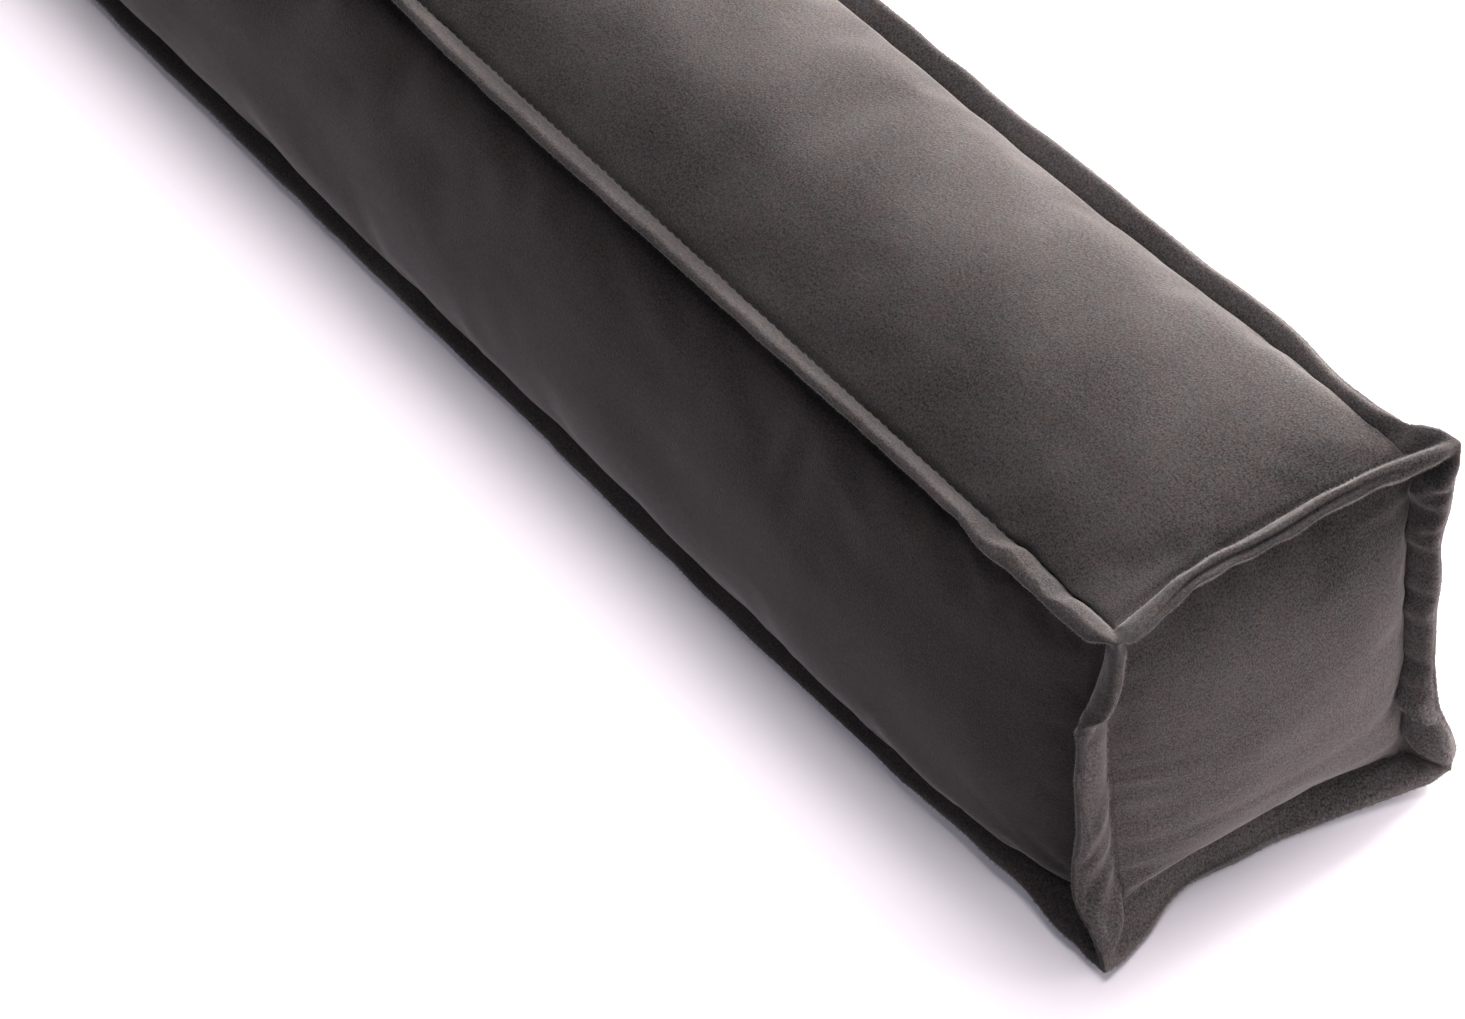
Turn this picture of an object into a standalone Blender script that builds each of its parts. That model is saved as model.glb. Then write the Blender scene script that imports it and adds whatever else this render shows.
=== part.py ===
# Draught excluder: one long, square, filled cushion in velvet. Six panels meet in a joining seam
# along the middle of a flat flange, and topstitching at the flange's foot closes the filled part.
# Metres, +Z up. The length runs along X, the front faces -Y, and the cushion lies on Z = 0.

import bmesh
import bpy
import numpy as np

# Driving sizes
SEAM_LENGTH = 0.880  # between the topstitching of the two ends
SEAM_WIDTH = 0.0945  # between the long topstitched lines, across Y, at the ends
SEAM_HEIGHT = 0.100  # between the bottom and the top topstitched lines, at the ends
SEAM_LIFT = 0.0075  # of the bottom topstitched lines above the floor
FLANGE_WIDTH = 0.0110  # from the topstitching to the flange's edge
TOP_RELAX = 0.092  # how fast the long top seams leave the corners' square for the filled section
BOTTOM_RELAX = 0.045  # the same for the bottom seams, which the weight spreads sooner
FLANGE_REST = 0.0027  # least height of a flange's middle over the floor: half its thickness
END_RISE = 0.062  # how far from an end seam the long panels reach their full crown
CROWN_POWER = 2.4  # roundness of a crown across its panel
CROWN_EDGE = 0.36  # below 1, a crown leaves its seam steeply
SHOULDER = 0.005  # from a seam to where a panel bulges furthest over its flange

# Cells of the panels between two seams, by axis
CELLS = {0: 44, 1: 12, 2: 12}
STATION_EASE = {0: 0.5, 1: 0.8, 2: 0.8}  # 0 spaces the lines evenly, 1 like a cosine
MITRE_FLOOR = 0.9  # keeps the valley between two flanges' faces from running far out of a sharp corner
MERGE = 1e-6  # panels share the points of their joining seams

# Half section of the flange, from the joining seam in its edge to the topstitching:
# out is the share of the width, half the half thickness, along the share of the way
# from an ear's point to the seam corner
FLANGE_SECTION = (
    {"out": 0.91, "half": 0.0, "along": 0.0},
    {"out": 1.0, "half": 0.0014, "along": 0.07},
    {"out": 0.84, "half": 0.0024, "along": 0.24},
    {"out": 0.42, "half": 0.0025, "along": 0.6},
    {"out": 0.0, "half": 0.0010, "along": 1.0},
)

# Corners by their sides in x, y, z. Both columns count outwards along x, y, z:
# shift moves the seam corner, and ear is the way from it to the point where three flanges meet
CORNERS = {
    (1, -1, 1): {"shift": (0.0, -0.0012, 0.0), "ear": (0.0080, 0.0052, 0.0055)},
    (1, 1, 1): {"shift": (0.0, 0.0004, 0.0015), "ear": (0.0078, 0.0092, 0.0088)},
    (1, -1, -1): {"shift": (0.0, -0.0010, -0.0030), "ear": (0.0115, 0.0125, 0.0076)},
    (1, 1, -1): {"shift": (0.0025, 0.0, 0.0005), "ear": (0.0084, 0.0093, 0.0040)},
    (-1, -1, 1): {"shift": (0.0, 0.0008, 0.0012), "ear": (0.0088, 0.0082, 0.0094)},
    (-1, 1, 1): {"shift": (0.0010, 0.0, -0.0010), "ear": (0.0094, 0.0076, 0.0082)},
    (-1, -1, -1): {"shift": (0.0, 0.0006, 0.0), "ear": (0.0098, 0.0104, 0.0042)},
    (-1, 1, -1): {"shift": (0.0006, -0.0008, 0.0), "ear": (0.0106, 0.0092, 0.0042)},
}

# Flanged edges by name. axis is the direction of the edge, and side its place on the two
# other axes, in their order. draw pulls the middle of the topstitching inwards along those
# axes. lean rows are a share of the edge and the flange's direction there, in degrees from
# the outward first axis to the outward second one. wave rows are degrees, cycles and start
# of a turn. turn rows, for the low and the high end, are the stretch of flange that turns
# towards the ear, and the share of the way that it turns
EDGES = {
    "front_top": {
        "axis": 0, "side": (-1, 1), "draw": (0.0018, 0.0059),
        "lean": ((0.0, 46), (0.6, 47), (0.72, 34), (0.84, 39), (0.92, 37), (0.96, 30), (1.0, 22)),
        "wave": ((1.0, 7.0, 0.1),), "turn": ((0.022, 1.0), (0.018, 0.35)),
    },
    "back_top": {
        "axis": 0, "side": (1, 1), "draw": (0.0040, 0.0072),
        "lean": ((0.0, 36), (0.72, 33), (0.85, 45), (0.95, 51), (1.0, 66)),
        "wave": ((1.0, 9.0, 0.2),), "turn": ((0.022, 1.0), (0.018, 0.4)),
    },
    "front_bottom": {
        "axis": 0, "side": (-1, -1), "draw": (-0.0080, 0.0),
        "lean": ((0.0, 22), (1.0, 22)),
        "wave": ((1.5, 5.0, 0.3), (1.0, 12.0, 0.7)), "turn": ((0.022, 1.0), (0.018, 0.8)),
    },
    "back_bottom": {
        "axis": 0, "side": (1, -1), "draw": (-0.0060, 0.0),
        "lean": ((0.0, 22), (1.0, 24)),
        "wave": ((1.5, 6.0, 0.8), (1.0, 10.0, 0.1)), "turn": ((0.022, 1.0), (0.022, 1.0)),
    },
    "end_top": {
        "axis": 1, "side": (1, 1), "draw": (0.0045, 0.0010),
        "lean": ((0.0, 47), (0.25, 53), (0.5, 43), (0.75, 49), (1.0, 54)),
        "wave": ((0.5, 2.5, 0.3),), "turn": ((0.014, 1.0), (0.018, 1.0)),
    },
    "end_bottom": {
        "axis": 1, "side": (1, -1), "draw": (0.0062, 0.0),
        "lean": ((0.0, 58), (0.2, 66), (0.45, 36), (0.85, 22), (1.0, 8)),
        "wave": ((0.5, 2.0, 0.6),), "turn": ((0.013, 0.7), (0.018, 0.4)),
    },
    "end_near": {
        "axis": 2, "side": (1, -1), "draw": (0.0030, 0.0006),
        "lean": (
            (0.0, 66), (0.12, 108), (0.35, 84), (0.66, 74), (0.73, 50), (0.79, 25), (0.86, 2), (1.0, -5)
        ),
        "wave": ((0.5, 4.0, 0.2),), "turn": ((0.013, 0.5), (0.016, 1.0)),
    },
    "end_far": {
        "axis": 2, "side": (1, 1), "draw": (0.0030, 0.0010),
        "lean": ((0.0, 30), (0.22, 9), (0.45, 19), (0.7, 22), (1.0, 20)),
        "wave": ((0.5, 4.0, 0.5),), "turn": ((0.016, 1.0), (0.018, 0.15)),
    },
    "tail_top": {
        "axis": 1, "side": (-1, 1), "draw": (0.0042, 0.0012),
        "lean": ((0.0, 50), (0.5, 42), (1.0, 46)),
        "wave": ((3.0, 2.0, 0.1),), "turn": ((0.018, 1.0), (0.018, 1.0)),
    },
    "tail_bottom": {
        "axis": 1, "side": (-1, -1), "draw": (0.0060, 0.0),
        "lean": ((0.0, 30), (0.5, 36), (1.0, 28)),
        "wave": ((3.0, 2.5, 0.4),), "turn": ((0.018, 1.0), (0.018, 1.0)),
    },
    "tail_near": {
        "axis": 2, "side": (-1, -1), "draw": (0.0034, 0.0012),
        "lean": ((0.0, 40), (0.35, 58), (0.7, 38), (1.0, 46)),
        "wave": ((3.0, 3.5, 0.7),), "turn": ((0.018, 1.0), (0.018, 1.0)),
    },
    "tail_far": {
        "axis": 2, "side": (-1, 1), "draw": (0.0030, 0.0014),
        "lean": ((0.0, 42), (0.4, 30), (0.75, 54), (1.0, 46)),
        "wave": ((3.0, 4.0, 0.3),), "turn": ((0.018, 1.0), (0.018, 1.0)),
    },
}

# Panels by axis and side: height of the crown, and how far its shoulders bulge over the
# flanges along the two other axes. The bottom one is pressed flat by the floor
PANELS = {
    (2, 1): {"crown": 0.0160, "bulge": (0.0018, 0.0040)},
    (2, -1): {"crown": 0.0140, "bulge": (0.0010, 0.0010)},
    (1, -1): {"crown": 0.0170, "bulge": (0.0020, 0.0010)},
    (1, 1): {"crown": 0.0170, "bulge": (0.0020, 0.0010)},
    (0, 1): {"crown": 0.0120, "bulge": (0.0018, 0.0018)},
    (0, -1): {"crown": 0.0120, "bulge": (0.0018, 0.0018)},
}

VELVET = {"colour": (0.098, 0.091, 0.088, 1.0), "roughness": 0.85, "metallic": 0.0}

CENTRE = np.array((0.0, 0.0, SEAM_LIFT + SEAM_HEIGHT / 2))
HALF = np.array((SEAM_LENGTH, SEAM_WIDTH, SEAM_HEIGHT)) / 2
RINGS = len(FLANGE_SECTION) - 1
UNIT = np.eye(3)


def clear_scene():
    for item in list(bpy.data.objects):
        bpy.data.objects.remove(item, do_unlink=True)


def others(axis):
    """The two axes square to this one, in their order."""
    return tuple(a for a in range(3) if a != axis)


def stations(axis):
    """Shares of an edge where a panel has its lines, closer together beside the corners."""
    even = np.linspace(0.0, 1.0, CELLS[axis] + 1)
    eased = (1.0 - np.cos(np.pi * even)) / 2.0
    return even + STATION_EASE[axis] * (eased - even)


def smooth_table(share, rows):
    """Value at each share: eased steps between the rows of (share, value)."""
    value = np.full_like(share, rows[0][1], dtype=float)
    for (start, low), (end, high) in zip(rows[:-1], rows[1:]):
        part = np.clip((share - start) / (end - start), 0.0, 1.0)
        value += (high - low) * part * part * (3.0 - 2.0 * part)
    return value


def seam_corner(sides):
    return CENTRE + np.array(sides) * (HALF + np.array(CORNERS[sides]["shift"]))


def ear(sides):
    return np.array(sides) * np.array(CORNERS[sides]["ear"])


def corner_sides(edge, end):
    """The corner at one end of an edge, by its sides in x, y, z."""
    sides = [end, end, end]
    for axis, side in zip(others(edge["axis"]), edge["side"]):
        sides[axis] = side
    return tuple(sides)


def edge_lines(edge):
    """Topstitched line, and the vector from it to the flange's edge, at the edge's stations.
    No flange dips under its rest height over the floor."""
    axis = edge["axis"]
    share = stations(axis)
    first, second = others(axis)
    low, high = corner_sides(edge, -1), corner_sides(edge, 1)
    start, end = seam_corner(low), seam_corner(high)
    length = np.linalg.norm(end - start)
    if axis == 0:
        relax = TOP_RELAX if edge["side"][1] > 0 else BOTTOM_RELAX
        pull = 1.0 - np.exp(-share * length / relax) - np.exp(-(1.0 - share) * length / relax)
    else:
        pull = 4.0 * share * (1.0 - share)
    pull = np.clip(pull, 0.0, None)
    seam = start + np.outer(share, end - start)
    out = (edge["side"][0] * UNIT[first], edge["side"][1] * UNIT[second])
    seam = seam - np.outer(pull, edge["draw"][0] * out[0] + edge["draw"][1] * out[1])
    angle = smooth_table(share, edge["lean"])
    for degrees, cycles, turn in edge["wave"]:
        angle = angle + degrees * np.sin(2.0 * np.pi * (cycles * share + turn))
    reach = np.full_like(angle, FLANGE_WIDTH)
    ends = zip((low, high), (share * length, (1.0 - share) * length), edge["turn"])
    for sides, distance, (stretch, most) in ends:
        near = most * np.exp(-((distance / stretch) ** 2))
        tip = CORNERS[sides]["ear"]
        angle = angle + near * (np.degrees(np.arctan2(tip[second], tip[first])) - angle)
        reach = reach + near * (np.hypot(tip[first], tip[second]) - reach)
    angle = np.radians(angle)
    flange = np.outer(reach * np.cos(angle), out[0]) + np.outer(reach * np.sin(angle), out[1])
    flange[:, 2] = np.maximum(flange[:, 2], FLANGE_REST - seam[:, 2])
    return seam, flange


def face_normal(edge, flange, panel_axis, panel_side):
    """Unit normal of the flange's face on the side of the given panel."""
    axis = edge["axis"]
    other = next(a for a in others(axis) if a != panel_axis)
    other_side = edge["side"][others(axis).index(other)]
    over_panel = panel_side * UNIT[panel_axis] - other_side * UNIT[other]
    plain = panel_side * UNIT[panel_axis] + other_side * UNIT[other]
    turn = np.sign(np.dot(np.cross(UNIT[axis], plain), over_panel))
    normal = turn * np.cross(UNIT[axis], flange)
    return normal / np.linalg.norm(normal, axis=-1, keepdims=True)


def rise(distance, reach):
    """0 at a seam and 1 from reach inwards: a rounded shoulder."""
    left = 1.0 - np.clip(distance / reach, 0.0, 1.0)
    return (1.0 - left**CROWN_POWER) ** CROWN_EDGE


def crown(panel_axis, panel_side):
    """Offsets that fill a panel out from its seams: up to its crown, and over its flanges."""
    panel = PANELS[(panel_axis, panel_side)]
    lifts, pushes = [], []
    for axis in others(panel_axis):
        share = stations(axis)
        length = 2.0 * HALF[axis]
        distance = np.minimum(share, 1.0 - share) * length
        lifts.append(rise(distance, END_RISE if axis == 0 else length / 2.0))
        pushes.append(np.sign(share - 0.5) * distance / SHOULDER * np.exp(1.0 - distance / SHOULDER))
    u, v = others(panel_axis)
    offset = np.outer(lifts[0], lifts[1])[..., None] * panel["crown"] * panel_side * UNIT[panel_axis]
    offset = offset + np.outer(pushes[0], lifts[1])[..., None] * panel["bulge"][0] * UNIT[u]
    return offset + np.outer(lifts[0], pushes[1])[..., None] * panel["bulge"][1] * UNIT[v]


def coons(grid):
    """Fills a grid from its four border lines, by the sum of both rulings less the corners'."""
    rows, columns = grid.shape[:2]
    s = np.linspace(0.0, 1.0, rows)[:, None, None]
    t = np.linspace(0.0, 1.0, columns)[None, :, None]
    ruled = (1 - t) * grid[:, :1] + t * grid[:, -1:] + (1 - s) * grid[:1] + s * grid[-1:]
    corners = (1 - s) * ((1 - t) * grid[0, 0] + t * grid[0, -1])
    corners = corners + s * ((1 - t) * grid[-1, 0] + t * grid[-1, -1])
    return ruled - corners


def ear_patch(sides, lines, normals):
    """The square of a panel between a seam corner and its ear. Rings count from the flanges'
    edges: the first index belongs to the second line's flange, the second to the first's."""
    corner, tip = seam_corner(sides), ear(sides)
    patch = np.empty((RINGS + 1, RINGS + 1, 3))
    valley = (normals[0] + normals[1]) / max(1.0 + np.dot(normals[0], normals[1]), MITRE_FLOOR)
    for i in range(RINGS + 1):
        for j in range(RINGS + 1):
            ring, further = min(i, j), max(i, j)
            line = 0 if j <= i else 1
            row, across = FLANGE_SECTION[ring], FLANGE_SECTION[further]
            share = (across["along"] - row["along"]) / (1.0 - row["along"]) if ring < RINGS else 0.0
            on_axis = corner + tip * row["out"] + valley * row["half"]
            on_line = corner + lines[line] * row["out"] + normals[line] * row["half"]
            patch[i, j] = on_axis + share * (on_line - on_axis)
    return patch


def panel_grid(panel_axis, panel_side):
    """All the points of one panel, flange faces and crown, as a grid."""
    u, v = others(panel_axis)
    counts = (2 * RINGS + CELLS[u] + 1, 2 * RINGS + CELLS[v] + 1)
    grid = np.empty(counts + (3,))
    middle = (slice(RINGS, RINGS + CELLS[u] + 1), slice(RINGS, RINGS + CELLS[v] + 1))
    faces = {}
    for axis, other in ((u, v), (v, u)):
        for side in (-1, 1):
            edge = find_edge(axis, {other: side, panel_axis: panel_side})
            seam, flange = edge_lines(edge)
            normal = face_normal(edge, flange, panel_axis, panel_side)
            faces[(axis, side)] = (flange, normal)
            for ring, row in enumerate(FLANGE_SECTION):
                line = seam + flange * row["out"] + normal * row["half"]
                index = ring if side < 0 else counts[1 if axis == u else 0] - 1 - ring
                if axis == u:
                    grid[middle[0], index] = line
                else:
                    grid[index, middle[1]] = line
    for side_u in (-1, 1):
        for side_v in (-1, 1):
            sides = [panel_side] * 3
            sides[u], sides[v] = side_u, side_v
            ends = (0 if side_u < 0 else -1, 0 if side_v < 0 else -1)
            flange_u, normal_u = faces[(u, side_v)]
            flange_v, normal_v = faces[(v, side_u)]
            patch = ear_patch(
                tuple(sides),
                (flange_u[ends[0]], flange_v[ends[1]]),
                (normal_u[ends[0]], normal_v[ends[1]]),
            )
            patch = patch[::-1] if side_u > 0 else patch
            patch = patch[:, ::-1] if side_v > 0 else patch
            rows = slice(0, RINGS + 1) if side_u < 0 else slice(counts[0] - RINGS - 1, counts[0])
            columns = slice(0, RINGS + 1) if side_v < 0 else slice(counts[1] - RINGS - 1, counts[1])
            grid[rows, columns] = patch
    grid[middle] = coons(grid[middle]) + crown(panel_axis, panel_side)
    return grid


def find_edge(axis, sides):
    wanted = tuple(sides[a] for a in others(axis))
    return next(e for e in EDGES.values() if e["axis"] == axis and e["side"] == wanted)


def grid_faces(rows, columns, first, flipped):
    """Quads of a grid whose points are numbered row by row from first."""
    index = first + np.arange(rows * columns).reshape(rows, columns)
    quads = np.stack([index[:-1, :-1], index[1:, :-1], index[1:, 1:], index[:-1, 1:]], axis=-1)
    quads = quads.reshape(-1, 4)
    return quads[:, ::-1] if flipped else quads


def velvet_material():
    material = bpy.data.materials.new("velvet")
    material.use_nodes = True
    shader = material.node_tree.nodes["Principled BSDF"]
    shader.inputs["Base Color"].default_value = VELVET["colour"]
    shader.inputs["Roughness"].default_value = VELVET["roughness"]
    shader.inputs["Metallic"].default_value = VELVET["metallic"]
    material.diffuse_color = VELVET["colour"]
    return material


def build_cushion():
    points, faces, count = [], [], 0
    for panel_axis in range(3):
        for panel_side in (-1, 1):
            grid = panel_grid(panel_axis, panel_side)
            rows, columns = grid.shape[:2]
            # u, v and the panel's axis turn the right way round for x and z, and the other for y
            flipped = (panel_side > 0) == (panel_axis == 1)
            faces.append(grid_faces(rows, columns, count, flipped))
            points.append(grid.reshape(-1, 3))
            count += rows * columns
    points = np.concatenate(points)
    points[:, 2] = np.maximum(points[:, 2], 0.0)
    middle = (points.min(axis=0) + points.max(axis=0)) / 2.0
    points[:, :2] -= middle[:2]
    mesh = bpy.data.meshes.new("cushion")
    mesh.from_pydata(points.tolist(), [], np.concatenate(faces).tolist())
    work = bmesh.new()
    work.from_mesh(mesh)
    bmesh.ops.remove_doubles(work, verts=work.verts, dist=MERGE)
    work.to_mesh(mesh)
    work.free()
    mesh.shade_smooth()
    mesh.materials.append(velvet_material())
    cushion = bpy.data.objects.new("cushion", mesh)
    bpy.context.collection.objects.link(cushion)
    return cushion


clear_scene()
build_cushion()
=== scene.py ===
# Draught excluder in dark taupe velvet: a long square cushion with a topstitched flange on every edge.
import math

import bmesh
import bpy
import numpy as np
from mathutils import Matrix, Vector


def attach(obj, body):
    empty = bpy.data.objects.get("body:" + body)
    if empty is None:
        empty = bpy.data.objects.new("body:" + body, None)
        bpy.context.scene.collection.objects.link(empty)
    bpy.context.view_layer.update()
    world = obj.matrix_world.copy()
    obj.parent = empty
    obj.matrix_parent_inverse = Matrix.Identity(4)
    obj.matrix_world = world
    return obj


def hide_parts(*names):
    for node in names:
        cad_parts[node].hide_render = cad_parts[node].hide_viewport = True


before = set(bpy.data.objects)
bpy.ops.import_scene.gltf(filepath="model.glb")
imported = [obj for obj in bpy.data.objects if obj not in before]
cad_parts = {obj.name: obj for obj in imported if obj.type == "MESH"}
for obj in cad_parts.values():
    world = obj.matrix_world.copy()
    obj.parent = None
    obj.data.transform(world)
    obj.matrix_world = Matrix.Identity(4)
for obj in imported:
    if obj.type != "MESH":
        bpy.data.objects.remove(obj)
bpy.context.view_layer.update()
print("frame loaded")

# The photograph's viewpoint, in degrees, metres and millimetres of lens
viewpoint = {
    "azimuth": 58.623,
    "elevation": 43.969,
    "roll": -4.818,
    "distance": 1.40268,
    "lens": 132.827,
    "aim": (0.440, 0.0, 0.0),  # the near end's foot
    "across": -0.13623,  # the camera's own place to the right of the line to the aim
    "up": 0.08800,
}


def makeCamera(v):
    a, e, r = (math.radians(v[k]) for k in ("azimuth", "elevation", "roll"))
    back = np.array((math.sin(a) * math.cos(e), -math.cos(a) * math.cos(e), math.sin(e)))
    level = np.array((math.cos(a), math.sin(a), 0.0))
    rise = np.cross(back, level)
    right = math.cos(r) * level + math.sin(r) * rise
    up = np.cross(back, right)
    place = np.array(v["aim"]) + back * v["distance"] + right * v["across"] + up * v["up"]
    camera = bpy.data.objects.new("camera", bpy.data.cameras.new("camera"))
    camera.data.lens = v["lens"]
    camera.data.clip_start = 0.05
    camera.data.clip_end = 50.0
    turn = Matrix(np.column_stack([right, up, back]).tolist()).to_4x4()
    camera.matrix_world = Matrix.Translation(place.tolist()) @ turn
    bpy.context.collection.objects.link(camera)
    bpy.context.scene.camera = camera


makeCamera(viewpoint)

# The cushion's cover, in metres; the same sizes as its solid
cover = {
    "seams": (0.880, 0.0945, 0.100),  # between the topstitched lines, along x, y, z
    "lift": 0.0075,  # bottom topstitching over the floor
    "flange": 0.0110,  # topstitching to edge
    "relax": {1: 0.092, -1: 0.045},  # lengths in which the top and bottom seams leave the corners' square
    "rest": 0.0027,  # least height of a flange's middle
    "endRise": 0.075,  # over this length at each end
    "endFall": 0.45,  # the crowns sink by this share
    "power": 2.1,  # roundness of the crowns' shoulders
    "shoulder": 0.005,  # from the topstitching to where a shoulder bulges most
    "lumps": (9.0, 14.0, 21.0, 30.0),  # turns a metre of the filling's unevenness
    "lumpHeight": 0.0008,
    "lip": 0.0022,  # radius of the flange's rounded edge
    "stitchHalf": 0.0009,  # half thickness in the topstitching
    "belly": 0.0006,  # more half thickness between lip and topstitching
    "groove": 0.0003,  # depth of the joining seam in the pile
    "grooveWidth": 0.0007,
    "unevenReach": 0.035,  # share by which the flange's width wanders
    "unevenThick": 0.10,
    "unevenPitch": 0.013,
    "taper": 1.6,  # how late the half section thins towards the topstitching
    "clear": 0.0004,  # least gap between a flange's under side and the floor
    "rippleFade": 0.06,
    "rippleDrift": 0.35,
    "puckerFade": 0.12,
    "puckerDrift": 0.4,
    "puckerWander": 2.3,  # pitches between the knots of their drift
    "lipRings": 6,  # grid lines round the lip
    "rings": 12,  # and on the whole flange
    "cells": (236, 52, 64),  # between the topstitched lines, along x, y, z
    "ease": (0.5, 0.7, 0.6),  # 0 spaces the lines evenly, 1 like a cosine
    "mitreFloor": 0.9,  # keeps a sharp meeting of two flanges from growing thick
    "paintedLightFade": 0.4,  # how far the flanges' cloth is from their panel's painted light and shade
    "notch": 0.6,  # thickness left where two flanges meet in an ear
    "earSmooth": {"passes": 8, "strength": 0.5, "reach": 0.011, "middle": 0.6},
    "tipSmooth": {"passes": 110, "strength": 0.5, "reach": 0.0062, "middle": 1.0},
}

# Corners by sides: shift moves the seam corner outwards, ear leads from it to the three flanges' point
# and notch is the thickness left between the flanges there
corners = {
    (1, -1, 1): {
        "shift": (0.0, -0.0012, 0.0), "ear": (0.0076, 0.0048, 0.0054), "notch": 0.22, "soft": 0.12,
    },
    (1, 1, 1): {"shift": (0.0, 0.0004, 0.0015), "ear": (0.0094, 0.0110, 0.0102)},
    (1, -1, -1): {
        "shift": (0.0, -0.0010, -0.0030), "ear": (0.0140, 0.0150, 0.0078), "notch": 0.3, "soft": 0.5,
    },
    (1, 1, -1): {"shift": (0.0025, 0.0, 0.0005), "ear": (0.0112, 0.0085, 0.0042), "notch": 0.4},
    (-1, -1, 1): {"shift": (0.0, 0.0008, 0.0012), "ear": (0.0088, 0.0082, 0.0094)},
    (-1, 1, 1): {"shift": (0.0010, 0.0, -0.0010), "ear": (0.0094, 0.0076, 0.0082)},
    (-1, -1, -1): {"shift": (0.0, 0.0006, 0.0), "ear": (0.0098, 0.0104, 0.0042)},
    (-1, 1, -1): {"shift": (0.0006, -0.0008, 0.0), "ear": (0.0106, 0.0092, 0.0042)},
}

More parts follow.
